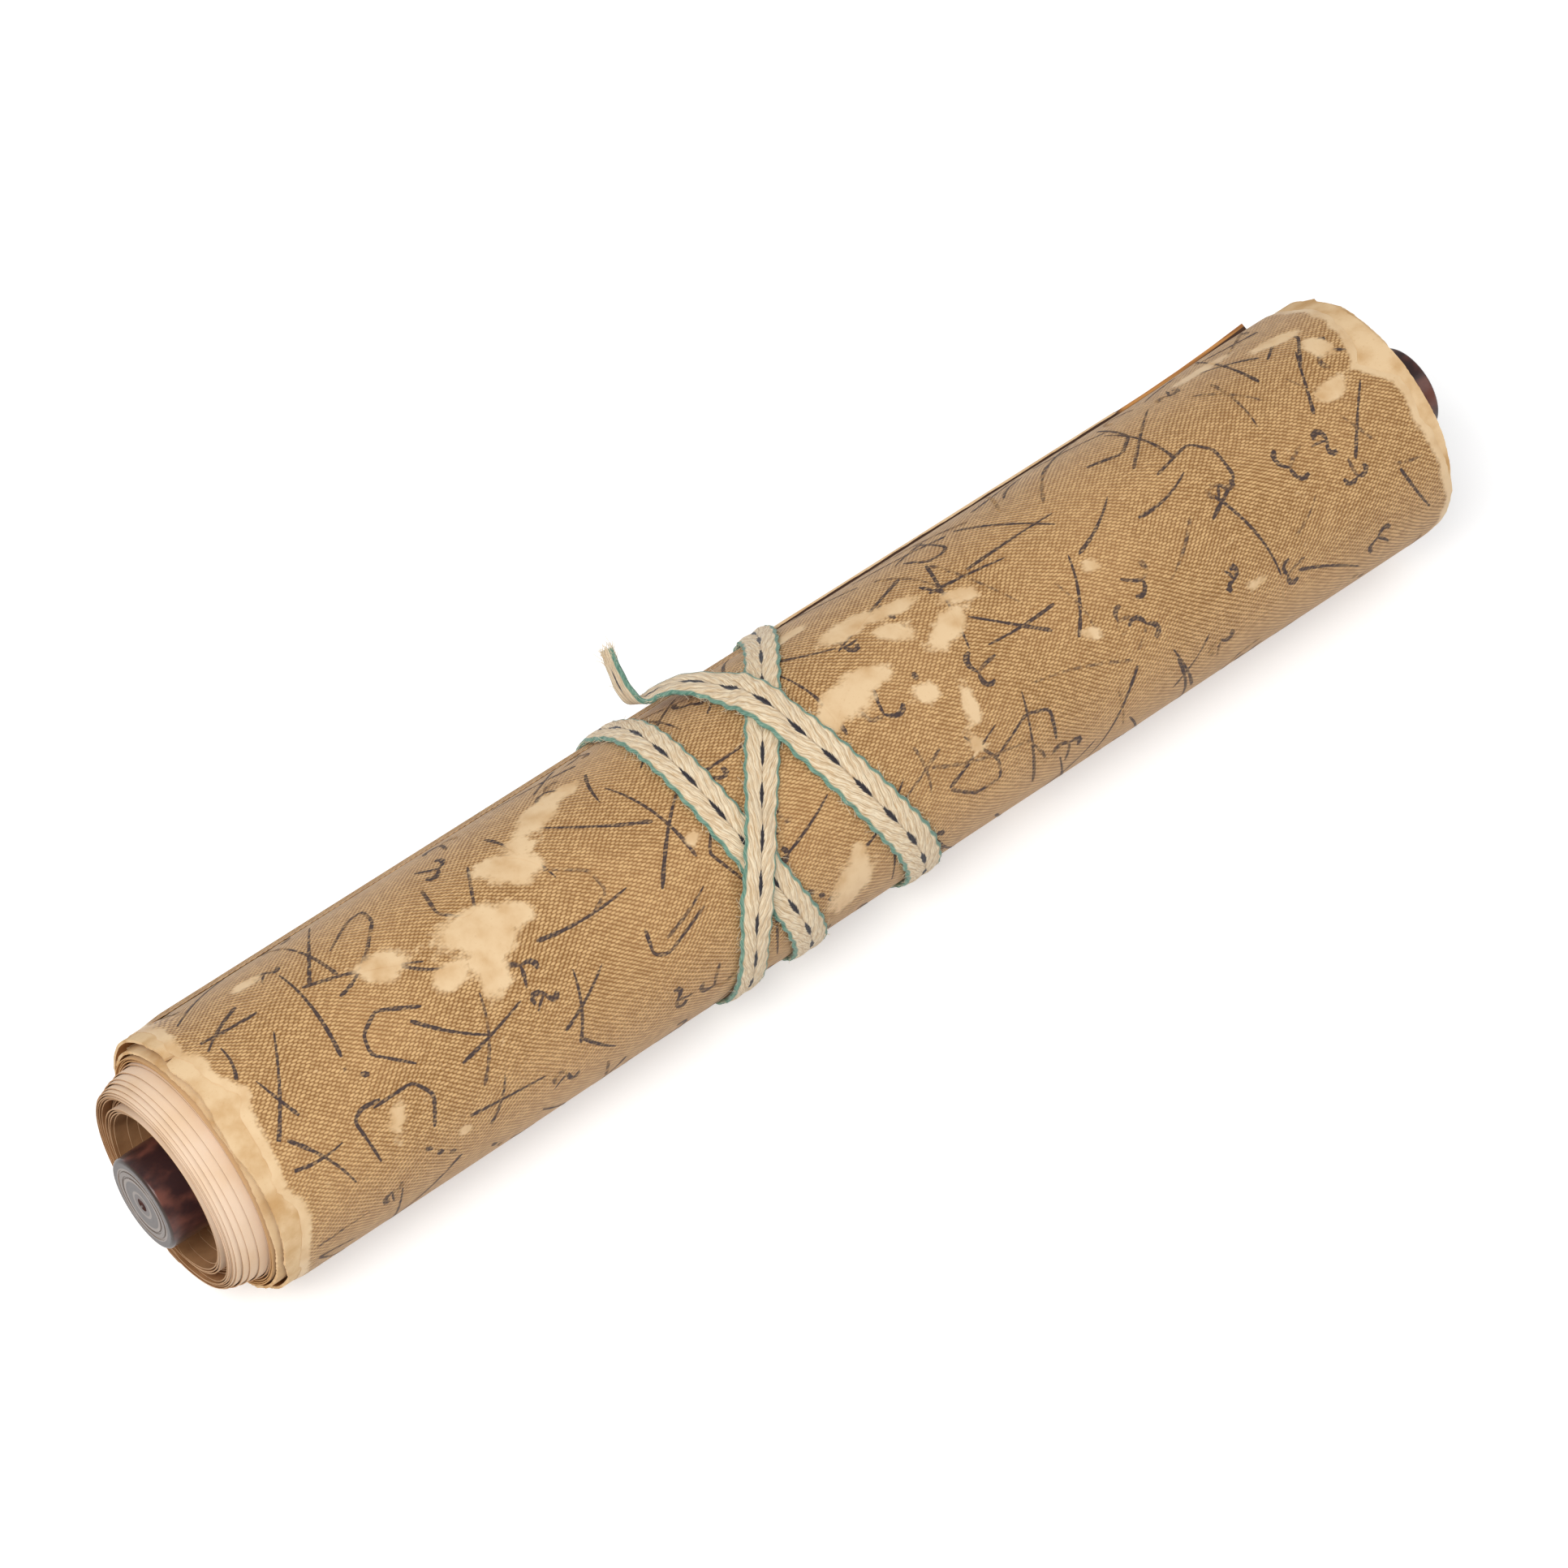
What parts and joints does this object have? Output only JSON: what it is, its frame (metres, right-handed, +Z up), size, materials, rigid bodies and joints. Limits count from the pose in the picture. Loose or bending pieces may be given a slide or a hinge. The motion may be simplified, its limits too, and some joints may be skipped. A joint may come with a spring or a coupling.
{
  "type": "paper scroll",
  "caption": "Hand scroll wound on a wooden roller with turned ends, in a figured silk cover with a stave, tied with a flat braided cord.",
  "frame": {"origin": "under the middle of the roll, on the surface that it lies on", "axes": "+X along the roll, towards the end where the roller end stands clear; +Y to the back, where the stave lies; +Z up"},
  "size_m": [0.308, 0.0634, 0.0544],
  "materials": {
    "paper": "matte mounted paper",
    "lining_paper": "aged backing paper",
    "silk": "twill silk with a sparse dark figure",
    "batten_wood": "stained softwood",
    "roller_wood": "plain softwood",
    "horn": null,
    "cord_braid": "flat braid with coloured edges"
  },
  "bodies": {
    "root": {"paper_roll": "paper", "cover_lining": "lining_paper", "cover_silk": "silk", "stave": "batten_wood", "roller": "roller_wood", "roller_end_left": "horn", "roller_end_right": "horn", "tie_cord": "cord_braid"}
  },
  "joints": []
}
